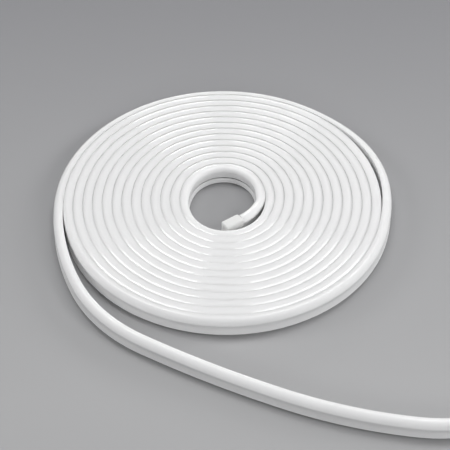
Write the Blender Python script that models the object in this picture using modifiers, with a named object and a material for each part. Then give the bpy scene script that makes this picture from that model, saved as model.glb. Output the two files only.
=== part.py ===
"""LED neon flex: a milky silicone extrusion with a domed top, wound flat into a spiral coil.

Metres, +Z up. The flex lies on its narrow base on the floor, z = 0. Its inner end carries an end cap
inside the bore, and its loose outer end leaves the coil on the left and bends away along the front.
The origin is on the floor, under the middle of the whole lay.
"""

import math

import bmesh
import bpy
from mathutils import Vector

# Section of the extrusion
FLEX_WIDTH = 0.0050
SIDE_HEIGHT = 0.0083
DOME_RISE = 0.0017
BASE_CHAMFER = 0.0004
SHOULDER_SHARE = 0.17
SHOULDER_RISE_SHARE = 0.72

# Winding, measured from the middle of the bore
BORE_RADIUS = 0.0159
BORE_STRETCH = 0.0051
WOUND_TURNS = 13.5
STATIONS_PER_TURN = 36

# Crescent gap under the last turn, in turns before the loose end leaves the coil
CRESCENT_WIDTH = 0.0022
CRESCENT_START = 0.54
CRESCENT_END = 0.33

# Inner end, which curls into the bore: a short bend where it leaves its turn, then a longer one
CURL_START_LENGTH = 0.0025
CURL_START_TURN = math.radians(20.0)
CURL_LENGTH = 0.0165
CURL_TURN = math.radians(34.0)
CURL_STEP = 0.0020

# Loose outer end: it leaves the coil, sweeps round its front, runs past it, and turns back at its tip
LEAVING_LENGTH = 0.0630
LEAVING_TURN = math.radians(24.0)
SWEEP_LENGTH = 0.0520
SWEEP_TURN = math.radians(35.0)
FRONT_LENGTH = 0.0750
FRONT_TURN = math.radians(8.0)
PASSING_LENGTH = 0.0600
PASSING_TURN = math.radians(15.0)
TIP_LENGTH = 0.0834
TIP_TURN = math.radians(62.0)
TAIL_STEP = 0.0060

# End caps
CAP_LENGTH = 0.0102
CAP_SIDE_LIP = 0.0003
CAP_TOP_LIP = 0.0001
CAP_EDGE_RADIUS = 0.0004
CAP_EDGE_SEGMENTS = 2
CAP_JOINT_GAP = 0.0003

FLEX_HEIGHT = SIDE_HEIGHT + DOME_RISE
FULL_TURN = 2.0 * math.pi
QUARTER_TURN = 0.5 * math.pi
SAME_PLACE = 0.00001
SMOOTH_UP_TO = math.radians(30.0)


def polar(radius, angle):
    return Vector((radius * math.cos(angle), radius * math.sin(angle)))


def joint_radius(angle):
    """Radius of the spiral joint line between neighbouring turns. The bore is longer front to back."""
    return BORE_RADIUS + FLEX_WIDTH * angle / FULL_TURN + BORE_STRETCH * math.sin(angle) ** 2


def crescent_shift(turns_left):
    """How far the last turn stands off the one inside it, some turns before it leaves the coil."""
    if not CRESCENT_END < turns_left < CRESCENT_START:
        return 0.0
    share = (turns_left - CRESCENT_END) / (CRESCENT_START - CRESCENT_END)
    return CRESCENT_WIDTH * math.sin(math.pi * share) ** 2


def wound_stations():
    """Inner and outer edge of the flex at each step of the winding, from the bore outwards."""
    count = round(WOUND_TURNS * STATIONS_PER_TURN)
    stations = []
    for index in range(count + 1):
        angle = FULL_TURN * index / STATIONS_PER_TURN
        shift = crescent_shift((count - index) / STATIONS_PER_TURN)
        inner = polar(joint_radius(angle) + shift, angle)
        outer = polar(joint_radius(angle + FULL_TURN) + shift, angle)
        stations.append((inner, outer))
    return stations


def free_stations(middle, heading, bends, step, outer_side):
    """Inner and outer edges of a free stretch that starts at middle and follows its bends."""
    stations = []
    for length, turn in bends:
        steps = max(1, round(length / step))
        for _ in range(steps):
            middle = middle + polar(length / steps, heading + 0.5 * turn / steps)
            heading += turn / steps
            across = polar(0.5 * FLEX_WIDTH, heading + outer_side)
            stations.append((middle - across, middle + across))
    return stations, heading


def raised(point, height):
    return Vector((point.x, point.y, height))


def add_joint(mesh, point):
    """Two vertices of a joint line: the foot of the dome, and the top of the base chamfer."""
    return (
        mesh.verts.new(raised(point, SIDE_HEIGHT)),
        mesh.verts.new(raised(point, BASE_CHAMFER)),
    )


def free_joints(mesh, stations):
    inner_joints = [add_joint(mesh, inner) for inner, _outer in stations]
    outer_joints = [add_joint(mesh, outer) for _inner, outer in stations]
    return inner_joints, outer_joints


def wound_joints(mesh, stations):
    """Joints of the wound turns. Where two turns touch, both use the same joint, so the coil is one
    solid with its bore, and the spiral of its turns is a groove in both of its faces."""
    inner_joints, outer_joints = free_joints(mesh, stations)
    for index, (inner, _outer) in enumerate(stations):
        inside = index - STATIONS_PER_TURN
        if inside >= 0 and (inner - stations[inside][1]).length < SAME_PLACE:
            for spare in inner_joints[index]:
                mesh.verts.remove(spare)
            inner_joints[index] = outer_joints[inside]
    return inner_joints, outer_joints


def add_section(mesh, station, inner_joint, outer_joint):
    """The closed outline of the flex at one station, from the dome's inner foot and back to it."""
    inner, outer = station
    shoulder = SIDE_HEIGHT + SHOULDER_RISE_SHARE * DOME_RISE
    chamfer = BASE_CHAMFER * (outer - inner).normalized()
    dome = (
        raised(inner.lerp(outer, SHOULDER_SHARE), shoulder),
        raised(inner.lerp(outer, 0.5), FLEX_HEIGHT),
        raised(inner.lerp(outer, 1.0 - SHOULDER_SHARE), shoulder),
    )
    base = (raised(outer - chamfer, 0.0), raised(inner + chamfer, 0.0))
    return (
        (inner_joint[0],)
        + tuple(mesh.verts.new(point) for point in dome)
        + outer_joint
        + tuple(mesh.verts.new(point) for point in base)
        + (inner_joint[1],)
    )


def joint_edges(joints):
    """Which pairs of neighbouring joints a side of the flex runs through."""
    return {frozenset((here[0], there[0])) for here, there in zip(joints, joints[1:])}


def build_flex(stations, wound_from, wound_to):
    """The whole extrusion as one closed solid. It has a side wall only where it stands free."""
    mesh = bmesh.new()
    inner_joints = []
    outer_joints = []
    for stretch, make_joints in (
        (stations[:wound_from], free_joints),
        (stations[wound_from:wound_to], wound_joints),
        (stations[wound_to:], free_joints),
    ):
        inner_side, outer_side = make_joints(mesh, stretch)
        inner_joints += inner_side
        outer_joints += outer_side
    touching = joint_edges(inner_joints) & joint_edges(outer_joints)
    outlines = [
        add_section(mesh, *parts) for parts in zip(stations, inner_joints, outer_joints)
    ]
    outer_foot = outlines[0].index(outer_joints[0][0])
    for here, there in zip(outlines, outlines[1:]):
        for side in range(len(here)):
            after = (side + 1) % len(here)
            on_inner_wall = after == 0 and frozenset((here[0], there[0])) in touching
            outer_edge = frozenset((here[outer_foot], there[outer_foot]))
            on_outer_wall = side == outer_foot and outer_edge in touching
            if not on_inner_wall and not on_outer_wall:
                mesh.faces.new((here[side], there[side], there[after], here[after]))
    mesh.faces.new(outlines[0])
    mesh.faces.new(outlines[-1])
    bmesh.ops.recalc_face_normals(mesh, faces=mesh.faces)
    return finished_object("neon_flex", mesh)


def cap_middle(end, heading):
    return end + polar(CAP_JOINT_GAP + 0.5 * CAP_LENGTH, heading)


def cap_corners(end, heading):
    along = polar(0.5 * CAP_LENGTH, heading)
    across = polar(0.5 * FLEX_WIDTH + CAP_SIDE_LIP, heading + QUARTER_TURN)
    middle = cap_middle(end, heading)
    return [middle + front + side for front in (along, -along) for side in (across, -across)]


def build_end_cap(name, end, heading):
    """A moulded block, a little larger than the flex, square on its cut end."""
    mesh = bmesh.new()
    bmesh.ops.create_cube(mesh, size=1.0)
    size = (CAP_LENGTH, FLEX_WIDTH + 2.0 * CAP_SIDE_LIP, FLEX_HEIGHT + CAP_TOP_LIP)
    bmesh.ops.scale(mesh, vec=size, verts=mesh.verts)
    cap = finished_object(name, mesh)
    cap.location = raised(cap_middle(end, heading), 0.5 * size[2])
    cap.rotation_euler = (0.0, 0.0, heading)
    rounding = cap.modifiers.new("rounded_edges", "BEVEL")
    rounding.width = CAP_EDGE_RADIUS
    rounding.segments = CAP_EDGE_SEGMENTS
    return cap


def finished_object(name, mesh):
    data = bpy.data.meshes.new(name)
    mesh.to_mesh(data)
    mesh.free()
    return bpy.data.objects.new(name, data)


def plastic(name, colour, roughness):
    material = bpy.data.materials.new(name)
    material.use_nodes = True
    shader = material.node_tree.nodes["Principled BSDF"]
    shader.inputs["Base Color"].default_value = (*colour, 1.0)
    shader.inputs["Roughness"].default_value = roughness
    shader.inputs["Metallic"].default_value = 0.0
    return material


def main():
    for leftover in list(bpy.data.objects):
        bpy.data.objects.remove(leftover)

    wound = wound_stations()
    first_middle = 0.5 * (wound[0][0] + wound[0][1])
    last_middle = 0.5 * (wound[-1][0] + wound[-1][1])
    outward = wound[-1][1] - wound[-1][0]
    tail_heading = math.atan2(outward.y, outward.x) + QUARTER_TURN
    curl_bends = ((CURL_START_LENGTH, -CURL_START_TURN), (CURL_LENGTH, -CURL_TURN))
    curl, curl_end = free_stations(
        first_middle, -QUARTER_TURN, curl_bends, CURL_STEP, QUARTER_TURN
    )
    tail_bends = (
        (LEAVING_LENGTH, LEAVING_TURN),
        (SWEEP_LENGTH, SWEEP_TURN),
        (FRONT_LENGTH, FRONT_TURN),
        (PASSING_LENGTH, PASSING_TURN),
        (TIP_LENGTH, TIP_TURN),
    )
    tail, tail_end = free_stations(
        last_middle, tail_heading, tail_bends, TAIL_STEP, -QUARTER_TURN
    )
    stations = curl[::-1] + wound + tail

    inner_end = 0.5 * (stations[0][0] + stations[0][1])
    outer_end = 0.5 * (stations[-1][0] + stations[-1][1])
    outline = [edge for station in stations for edge in station]
    outline += cap_corners(outer_end, tail_end)
    low = Vector((min(point.x for point in outline), min(point.y for point in outline)))
    high = Vector((max(point.x for point in outline), max(point.y for point in outline)))
    lay_middle = 0.5 * (low + high)
    stations = [(inner - lay_middle, outer - lay_middle) for inner, outer in stations]
    inner_end -= lay_middle
    outer_end -= lay_middle

    flex = build_flex(stations, len(curl), len(curl) + len(wound))
    caps = (
        build_end_cap("end_cap_inner", inner_end, curl_end),
        build_end_cap("end_cap_outer", outer_end, tail_end),
    )

    flex.data.materials.append(plastic("milky_silicone", (0.80, 0.80, 0.80), 0.35))
    cap_plastic = plastic("cap_silicone", (0.74, 0.74, 0.73), 0.40)
    for cap in caps:
        cap.data.materials.append(cap_plastic)

    collection = bpy.data.collections.new("neon_flex_coil")
    bpy.context.scene.collection.children.link(collection)
    for piece in (flex, *caps):
        collection.objects.link(piece)
        piece.data.shade_smooth()
        piece.data.set_sharp_from_angle(angle=SMOOTH_UP_TO)


main()
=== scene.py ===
import math

import bpy
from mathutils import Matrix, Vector


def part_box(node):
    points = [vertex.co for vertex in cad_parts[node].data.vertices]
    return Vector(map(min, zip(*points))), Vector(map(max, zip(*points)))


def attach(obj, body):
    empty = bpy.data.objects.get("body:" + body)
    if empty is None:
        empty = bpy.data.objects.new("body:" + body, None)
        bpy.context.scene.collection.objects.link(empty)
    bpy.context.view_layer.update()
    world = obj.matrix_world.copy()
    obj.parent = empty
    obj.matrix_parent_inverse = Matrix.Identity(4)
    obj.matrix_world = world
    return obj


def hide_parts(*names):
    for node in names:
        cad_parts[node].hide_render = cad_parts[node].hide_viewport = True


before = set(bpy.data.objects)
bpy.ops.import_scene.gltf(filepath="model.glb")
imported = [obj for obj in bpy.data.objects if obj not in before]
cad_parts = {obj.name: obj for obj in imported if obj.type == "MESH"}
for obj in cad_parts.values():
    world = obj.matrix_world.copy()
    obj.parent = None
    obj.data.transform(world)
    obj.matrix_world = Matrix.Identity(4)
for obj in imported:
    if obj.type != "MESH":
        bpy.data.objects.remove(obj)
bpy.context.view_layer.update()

fullTurn = 2.0 * math.pi
bpy.ops.object.select_all(action="DESELECT")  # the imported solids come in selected
smoothUpTo = math.radians(32.0)               # a fold sharper than this stays a hard edge

# sizes are in metres, angles in degrees and shares run from 0 to 1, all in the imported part's frame
flexSettings = {
    "width": 0.0050,
    "height": 0.0100,
    "length": 5.0,
    "sideInset": 0.00001,      # keeps the walls of neighbouring turns from sharing a plane
    "crestShare": 0.42,        # how far across the top the dome is highest, from the inner side
    # where a neighbouring turn presses: the height of the dome's edge and how late it comes down
    "innerPressed": (0.00986, 4.0),
    "outerPressed": (0.00950, 2.1),
    # where a side stands free, the dome comes down further; 2 is an ellipse, less is straighter
    "boreShoulder": 0.0078,
    "looseShoulder": 0.0092,
    "innerPower": 2.0,
    "outerPower": 1.65,
    "freeBlend": 0.06,         # in turns, from pressed to free
    "domePoints": 10,          # on each side of the crest
    "innerEdge": 0.0074,       # lower edge of the diffuser on either side
    "outerEdge": 0.0067,
    "edgeStep": 0.00012,       # how far the diffuser stands proud of the body
    # the hollow along the outer wall, from under the diffuser down to the foot
    "waistHeight": 0.0042,
    "waistDepth": 0.00050,
    "waistPoints": 5,          # above the waist's deepest line, and again below it
    "footHeight": 0.0014,
    # the moulded line along the inner side
    "creaseHeight": 0.0036,
    "creaseWidth": 0.0008,
    "creaseMouth": 0.00128,    # its width at the surface, with its rounded edges
    "creaseInside": 0.00048,   # its width at the bottom
    "creaseEdge": 0.000108,    # how far in the rounded edges end
    "creaseDepth": 0.0018,
    "creaseFall": 0.0012,      # how far it runs down inside
    "bandSlant": 0.0003,       # how far the band under it leans back
    # the narrower base that the flex stands on
    "plinthInnerHeight": 0.0005,
    "plinthOuterHeight": 0.0012,
    "plinthInset": 0.0017,
}


def polar(radius, angle):
    return Vector((radius * math.cos(angle), radius * math.sin(angle), 0.0))


def selectOnly(piece):
    bpy.ops.object.select_all(action="DESELECT")
    piece.select_set(True)
    bpy.context.view_layer.objects.active = piece


# the route of the flex: its middle line on the floor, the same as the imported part's
coilSettings = {
    "boreRadius": 0.0159,
    "boreStretch": 0.0051,     # the coil is this much longer to the front and to the back
    "turns": 13.5,
    "stepsPerTurn": 90,
    "crescentWidth": 0.0022,   # the gap that opens under the last turn
    "crescentStart": 0.54,     # in turns before the loose end leaves the coil
    "crescentEnd": 0.33,
}
innerEndSettings = {
    "bends": ((0.0025, -20.0), (0.0165, -34.0)),  # length and turn of each bend, from the coil on
    "step": 0.0010,
}
looseEndSettings = {
    "bends": ((0.0630, 24.0), (0.0520, 35.0), (0.0750, 8.0), (0.0600, 15.0), (0.0834, 62.0)),
    "step": 0.0025,
}


def turnRadius(angle):
    settings = coilSettings
    turnsLeft = settings["turns"] - angle / fullTurn
    radius = settings["boreRadius"] + flexSettings["width"] * (angle / fullTurn + 0.5)
    radius += settings["boreStretch"] * math.sin(angle) ** 2
    if settings["crescentEnd"] < turnsLeft < settings["crescentStart"]:
        span = settings["crescentStart"] - settings["crescentEnd"]
        share = (turnsLeft - settings["crescentEnd"]) / span
        radius += settings["crescentWidth"] * math.sin(math.pi * share) ** 2
    return radius


def bendPoints(start, heading, bends, step):
    points = []
    for length, degrees in bends:
        steps = max(1, round(length / step))
        turn = math.radians(degrees) / steps
        for _ in range(steps):
            start = start + polar(length / steps, heading + 0.5 * turn)
            heading += turn
            points.append(start)
    return points, heading


def flexRoute():
    settings = coilSettings
    steps = round(settings["turns"] * settings["stepsPerTurn"])
    angles = [fullTurn * index / settings["stepsPerTurn"] for index in range(steps + 1)]
    wound = [polar(turnRadius(angle), angle) for angle in angles]
    curl, curlHeading = bendPoints(
        wound[0], math.radians(-90.0), innerEndSettings["bends"], innerEndSettings["step"]
    )
    tail, tailHeading = bendPoints(
        wound[-1], math.radians(-90.0), looseEndSettings["bends"], looseEndSettings["step"]
    )
    # the coil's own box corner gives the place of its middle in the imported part
    lowest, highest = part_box("neon_flex")
    half = 0.5 * flexSettings["width"]
    leftmost = turnRadius(fullTurn * settings["turns"]) + half
    furthest = turnRadius(fullTurn * (settings["turns"] - 0.25)) + half
    middle = Vector((lowest[0] + leftmost, highest[1] - furthest, 0.0))
    points = [middle + point for point in curl[::-1] + wound + tail]
    return points, len(curl), curlHeading, tailHeading, middle


route, woundFrom, innerHeading, outerHeading, coilMiddle = flexRoute()
print("route:", len(route), "points")


# camera
cameraSettings = {
    "elevation": 42.42,
    "distance": 0.75,
    "lens": 116.2,             # lens and sensor are in millimetres
    "sensor": 36.0,
    "nearClip": 0.01,
    "aimFromCoil": (0.0001, -0.0109, 0.0),
}


def addCamera():
    settings = cameraSettings
    tilt = math.radians(settings["elevation"])
    aim = coilMiddle + Vector(settings["aimFromCoil"])
    back = Vector((0.0, -math.cos(tilt), math.sin(tilt)))
    data = bpy.data.cameras.new("productCamera")
    data.lens = settings["lens"]
    data.sensor_width = settings["sensor"]
    data.clip_start = settings["nearClip"]
    camera = bpy.data.objects.new("productCamera", data)
    bpy.context.scene.collection.objects.link(camera)
    camera.location = aim + settings["distance"] * back
    camera.rotation_euler = (math.radians(90.0) - tilt, 0.0, 0.0)
    bpy.context.scene.camera = camera


addCamera()
print("camera: set")


# materials
def newMaterial(name):
    material = bpy.data.materials.new(name)
    material.use_nodes = True
    nodes = material.node_tree.nodes
    return material, nodes, material.node_tree.links, nodes["Principled BSDF"]


siliconeSettings = {
    # colour, darker colour of the cloudy patches, roughness, subsurface weight and reach, gloss coat
    "body": ((0.84, 0.84, 0.84), (0.81, 0.81, 0.81), 0.38, 0.10, 0.0008, 0.0),
    "diffuser": ((0.96, 0.96, 0.96), (0.93, 0.93, 0.93), 0.15, 0.80, 0.0035, 0.5),
    "cap": ((0.84, 0.84, 0.83), (0.79, 0.79, 0.78), 0.35, 0.50, 0.0020, 0.0),
}


patternSettings = {
    "refraction": 1.5,
    "coatRoughness": 0.10,
    "cloudScale": 60.0,        # the milky patches
    "grainScale": 260.0,       # the fine unevenness of the surface
    "grainStrength": 0.10,
    "grainHeight": 0.0002,
    "detail": 3.0,
}


def milkySilicone(name, colour, cloudColour, roughness, softness, reach, coat):
    settings = patternSettings
    material, nodes, links, shader = newMaterial(name)
    shader.inputs["Roughness"].default_value = roughness
    shader.inputs["IOR"].default_value = settings["refraction"]
    shader.inputs["Subsurface Weight"].default_value = softness
    shader.inputs["Subsurface Radius"].default_value = (1.0, 1.0, 1.0)
    shader.inputs["Subsurface Scale"].default_value = reach
    shader.inputs["Coat Weight"].default_value = coat
    shader.inputs["Coat Roughness"].default_value = settings["coatRoughness"]
    place = nodes.new("ShaderNodeTexCoord")
    cloud = nodes.new("ShaderNodeTexNoise")
    cloud.inputs["Scale"].default_value = settings["cloudScale"]
    cloud.inputs["Detail"].default_value = settings["detail"]
    links.new(place.outputs["Object"], cloud.inputs["Vector"])
    tint = nodes.new("ShaderNodeMix")
    tint.data_type = "RGBA"
    tint.inputs["A"].default_value = (*colour, 1.0)
    tint.inputs["B"].default_value = (*cloudColour, 1.0)
    links.new(cloud.outputs["Fac"], tint.inputs["Factor"])
    links.new(tint.outputs["Result"], shader.inputs["Base Color"])
    grain = nodes.new("ShaderNodeTexNoise")
    grain.inputs["Scale"].default_value = settings["grainScale"]
    grain.inputs["Detail"].default_value = settings["detail"]
    links.new(place.outputs["Object"], grain.inputs["Vector"])
    relief = nodes.new("ShaderNodeBump")
    relief.inputs["Strength"].default_value = settings["grainStrength"]
    relief.inputs["Distance"].default_value = settings["grainHeight"]
    links.new(grain.outputs["Fac"], relief.inputs["Height"])
    links.new(relief.outputs["Normal"], shader.inputs["Normal"])
    return material


floorSettings = {
    "size": 6.0,
    "roughness": 0.75,
    # painted shade: the floor's colour darkens towards the back, between these two places, standing in for
    # the light falling off
    "nearPlace": -0.10,
    "farPlace": 0.26,
    "nearColour": (0.425, 0.425, 0.430),
    "farPaintedShadeColour": (0.245, 0.245, 0.257),
}


# a pale floor whose colour darkens towards the back: painted shade for the light's falloff
def floorPaintedShade():
    settings = floorSettings
    material, nodes, links, shader = newMaterial("paleFloorPaintedShade")
    shader.inputs["Roughness"].default_value = settings["roughness"]
    place = nodes.new("ShaderNodeTexCoord")
    split = nodes.new("ShaderNodeSeparateXYZ")
    links.new(place.outputs["Object"], split.inputs["Vector"])
    depth = nodes.new("ShaderNodeMapRange")
    depth.inputs["From Min"].default_value = settings["nearPlace"]
    depth.inputs["From Max"].default_value = settings["farPlace"]
    links.new(split.outputs["Y"], depth.inputs["Value"])
    # painted shade: blends from the pale near colour to the darker far colour
    paintedFalloff = nodes.new("ShaderNodeMix")
    paintedFalloff.data_type = "RGBA"
    paintedFalloff.inputs["A"].default_value = (*settings["nearColour"], 1.0)
    paintedFalloff.inputs["B"].default_value = (*settings["farPaintedShadeColour"], 1.0)
    links.new(depth.outputs["Result"], paintedFalloff.inputs["Factor"])
    links.new(paintedFalloff.outputs["Result"], shader.inputs["Base Color"])
    return material


bodyMaterial = milkySilicone("flexBody", *siliconeSettings["body"])
diffuserMaterial = milkySilicone("flexDiffuser", *siliconeSettings["diffuser"])
capMaterial = milkySilicone("capSilicone", *siliconeSettings["cap"])
print("materials: set")


# the flex: its section swept along the route
def domeShares():
    count = flexSettings["domePoints"]
    return [math.sin(0.5 * math.pi * index / count) for index in range(count + 1)]


def pressedDome(edge, shoulder, fold):
    # from the crest to one edge, which is at a negative place on the side towards the bore
    settings = flexSettings
    crest = (settings["crestShare"] - 0.5) * settings["width"]
    drop = settings["height"] - shoulder
    return [
        (crest + (edge - crest) * share, settings["height"] - drop * share ** fold)
        for share in domeShares()
    ]


def freeDome(edge, shoulder, power):
    settings = flexSettings
    crest = (settings["crestShare"] - 0.5) * settings["width"]
    rise = settings["height"] - shoulder
    points = []
    for share in domeShares():
        up = (1.0 - share ** 2) ** 0.5
        place = crest + (edge - crest) * share ** (2.0 / power)
        points.append((place, shoulder + rise * up ** (2.0 / power)))
    return points


def outerWall(body):
    # the body's side from under the diffuser down to its foot, hollowed between them
    settings = flexSettings
    waist, depth = settings["waistHeight"], settings["waistDepth"]
    top = settings["outerEdge"] - settings["edgeStep"]
    points = []
    count = settings["waistPoints"]
    for share in [index / count for index in range(count)]:
        inset = depth * math.sin(0.5 * math.pi * share)
        points.append((body - inset, top + (waist - top) * share))
    for share in [index / (count - 1) for index in range(count)]:
        inset = depth * math.cos(0.5 * math.pi * share)
        points.append((body - inset, waist + (settings["footHeight"] - waist) * share))
    return points


def innerWall(half, body):
    # the side towards the bore, from its foot up to the diffuser, with the moulded line
    settings = flexSettings
    crease = settings["creaseHeight"]
    bottom = crease - settings["creaseFall"]
    mouth, lip = 0.5 * settings["creaseMouth"], 0.5 * settings["creaseWidth"]
    inside = 0.5 * settings["creaseInside"]
    depth, edge, slant = settings["creaseDepth"], settings["creaseEdge"], settings["bandSlant"]
    return [
        (slant - half, crease - mouth),
        (slant + edge - half, crease - lip),
        (depth - half, bottom - inside),
        (depth - half, bottom + inside),
        (edge - body, crease + lip),
        (-body, crease + mouth),
        (-body, settings["innerEdge"] - settings["edgeStep"]),
    ]


def flexSection(innerShoulder):
    # the outline, clockwise from the diffuser's inner edge, and how many of its points are the diffuser;
    # without a shoulder, both sides are pressed
    settings = flexSettings
    half = 0.5 * settings["width"] - settings["sideInset"]
    body = half - settings["edgeStep"]
    plinth = half - settings["plinthInset"]
    low, lowInner = settings["plinthOuterHeight"], settings["plinthInnerHeight"]
    if innerShoulder is None:
        innerDome = pressedDome(-half, *settings["innerPressed"])
        outerDome = pressedDome(half, *settings["outerPressed"])
    else:
        innerDome = freeDome(-half, innerShoulder, settings["innerPower"])
        rim = settings["outerEdge"] + settings["edgeStep"]
        outerDome = freeDome(half, rim, settings["outerPower"])
    diffuser = [(-half, settings["innerEdge"])] + innerDome[::-1] + outerDome[1:]
    diffuser.append((half, settings["outerEdge"]))
    base = [(half, low), (plinth, low), (plinth, 0.0)]
    base += [(-plinth, 0.0), (-plinth, lowInner), (-half, lowInner)]
    return diffuser + outerWall(body) + base + innerWall(half, body), len(diffuser)


def addPolyLine(name, points, cyclic):
    data = bpy.data.curves.new(name, "CURVE")
    data.dimensions = "3D"
    spline = data.splines.new("POLY")
    spline.points.add(len(points) - 1)
    for place, point in zip(spline.points, points):
        place.co = (point[0], point[1], point[2] if len(point) > 2 else 0.0, 1.0)
    spline.use_cyclic_u = cyclic
    line = bpy.data.objects.new(name, data)
    bpy.context.scene.collection.objects.link(line)
    return line


def freeSides(ring):
    # how far each side stands free of a neighbour: towards the bore, then away from it
    blend = flexSettings["freeBlend"]
    turn = (ring - woundFrom) / coilSettings["stepsPerTurn"]
    lastTurn = coilSettings["turns"] - 1.0
    inner = max((1.0 + blend - turn) / blend, (turn - coilSettings["turns"]) / blend)
    outer = max(-turn / blend, (turn - lastTurn) / blend)
    return min(1.0, max(0.0, inner)), min(1.0, max(0.0, outer))


def relaxFreeSides(flex, pressed, atBore, atLooseEnd):
    for ring in range(len(route)):
        relaxed = atBore if 2 * ring < len(route) else atLooseEnd
        innerFree, outerFree = freeSides(ring)
        ahead = route[min(ring + 1, len(route) - 1)] - route[max(ring - 1, 0)]
        outward = Vector((ahead.y, -ahead.x, 0.0)).normalized()
        for number, (old, new) in enumerate(zip(pressed, relaxed)):
            free = innerFree if old[0] < 0.0 else outerFree
            shift = free * (new[0] - old[0]) * outward
            shift.z = free * (new[1] - old[1])
            flex.data.vertices[ring * len(pressed) + number].co += shift


def addFlex():
    outline, diffuserPoints = flexSection(None)
    atBore = flexSection(flexSettings["boreShoulder"])[0]
    atLooseEnd = flexSection(flexSettings["looseShoulder"])[0]
    section = addPolyLine("flexSection", outline, True)
    flex = addPolyLine("neonFlex", route, False)
    flex.data.twist_mode = "Z_UP"
    flex.data.bevel_mode = "OBJECT"
    flex.data.bevel_object = section
    selectOnly(flex)
    bpy.ops.object.convert(target="MESH")
    bpy.data.objects.remove(section)
    # the sweep makes its points and faces ring by ring, so a number tells the place in the section
    relaxFreeSides(flex, outline, atBore, atLooseEnd)
    flex.data.materials.clear()
    flex.data.materials.append(bodyMaterial)
    flex.data.materials.append(diffuserMaterial)
    for face in flex.data.polygons:
        face.material_index = 1 if face.index % len(outline) < diffuserPoints - 1 else 0
    bpy.ops.object.mode_set(mode="EDIT")
    bpy.ops.mesh.select_all(action="SELECT")
    bpy.ops.mesh.fill_holes(sides=0)
    bpy.ops.mesh.normals_make_consistent(inside=False)
    bpy.ops.object.mode_set(mode="OBJECT")
    bpy.ops.object.shade_smooth_by_angle(angle=smoothUpTo)
    return flex


flex = addFlex()
print("flex:", len(flex.data.polygons), "faces")


# end caps
capSettings = {
    "length": 0.0102,
    "sideLip": 0.0003,         # how far the cap stands out past the flex on each side
    "topLip": 0.0001,
    "jointGap": 0.0003,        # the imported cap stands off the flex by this, and here the cap takes it up
    "edgeRadius": 0.00085,
    "edgeSteps": 5,
    "rim": 0.0005,             # flat rim around the shallow dent in the end face
    "dent": 0.00025,
}


def addCap(name, end, heading):
    settings = capSettings
    size = (
        settings["length"] + settings["jointGap"],
        flexSettings["width"] + 2.0 * settings["sideLip"],
        flexSettings["height"] + settings["topLip"],
    )
    bpy.ops.mesh.primitive_cube_add(size=1.0, location=(0.5 * size[0], 0.0, 0.5 * size[2]))
    cap = bpy.context.active_object
    cap.name = cap.data.name = name
    cap.scale = size
    bpy.ops.object.transform_apply(location=True, rotation=True, scale=True)
    rounding = cap.modifiers.new("roundedEdges", "BEVEL")
    rounding.width = settings["edgeRadius"]
    rounding.segments = settings["edgeSteps"]
    bpy.ops.object.modifier_apply(modifier=rounding.name)
    for face in cap.data.polygons:
        face.select = face.normal.x > 0.999  # the flat end face alone
    bpy.ops.object.mode_set(mode="EDIT")
    bpy.ops.mesh.inset(thickness=settings["rim"])
    bpy.ops.mesh.inset(thickness=settings["dent"], depth=-settings["dent"])
    bpy.ops.object.mode_set(mode="OBJECT")
    cap.data.materials.append(capMaterial)
    cap.location = end
    cap.rotation_euler = (0.0, 0.0, heading)
    bpy.ops.object.transform_apply(location=True, rotation=True, scale=True)
    bpy.ops.object.shade_smooth_by_angle(angle=smoothUpTo)
    return cap


capInner = addCap("capInner", route[0], innerHeading)
capOuter = addCap("capOuter", route[-1], outerHeading)
print("caps: 2")


# floor and light
studioSettings = {
    "ambient": (0.80, 0.81, 0.83),
    "ambientStrength": 0.16,
    # name, place from the coil's middle, width, height, watts, whether the gloss shows it
    "lights": (
        ("softboxRight", (0.70, -0.40, 0.64), 0.30, 0.30, 2.0, False),
        ("softboxLeft", (-0.86, 0.15, 0.48), 0.30, 0.30, 2.6, False),
        ("keyRight", (0.89, 0.25, 0.42), 0.30, 0.30, 3.2, False),
        ("fillFront", (0.00, -0.95, 0.44), 0.80, 0.30, 2.5, False),
        ("overhead", (0.00, 0.30, 1.00), 0.60, 0.50, 1.7, False),
        ("stripLeft", (-0.29, 0.34, 0.88), 0.13, 0.50, 1.65, True),
        ("stripRight", (0.29, 0.34, 0.88), 0.13, 0.55, 1.50, True),
        ("stripBackLeft", (-0.13, 0.95, 0.32), 0.20, 0.10, 0.46, True),
        ("stripBackRight", (0.13, 0.95, 0.32), 0.20, 0.10, 0.34, True),
    ),
}


def addFloor():
    bpy.ops.mesh.primitive_plane_add(size=floorSettings["size"], location=(0.0, 0.0, 0.0))
    floor = bpy.context.active_object
    floor.name = "studioFloor"
    floor.data.materials.append(floorPaintedShade())


def addLights():
    world = bpy.data.worlds.new("studioWorld")
    world.use_nodes = True
    background = world.node_tree.nodes["Background"]
    background.inputs["Color"].default_value = (*studioSettings["ambient"], 1.0)
    background.inputs["Strength"].default_value = studioSettings["ambientStrength"]
    bpy.context.scene.world = world
    for name, place, width, height, watts, glossy in studioSettings["lights"]:
        data = bpy.data.lights.new(name, "AREA")
        data.shape = "RECTANGLE"
        data.size = width
        data.size_y = height
        data.energy = watts
        light = bpy.data.objects.new(name, data)
        bpy.context.scene.collection.objects.link(light)
        light.location = coilMiddle + Vector(place)
        light.visible_glossy = glossy
        light.rotation_euler = (coilMiddle - light.location).to_track_quat("-Z", "Y").to_euler()
    bpy.context.scene.view_settings.view_transform = "Standard"


addFloor()
addLights()
print("studio: set")


# what rides on what
for piece, node, finish in (
    (flex, "neon_flex", "milky_silicone"),
    (capInner, "end_cap_inner", "cap_silicone"),
    (capOuter, "end_cap_outer", "cap_silicone"),
):
    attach(piece, "root")
    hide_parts(node)

bpy.context.view_layer.update()
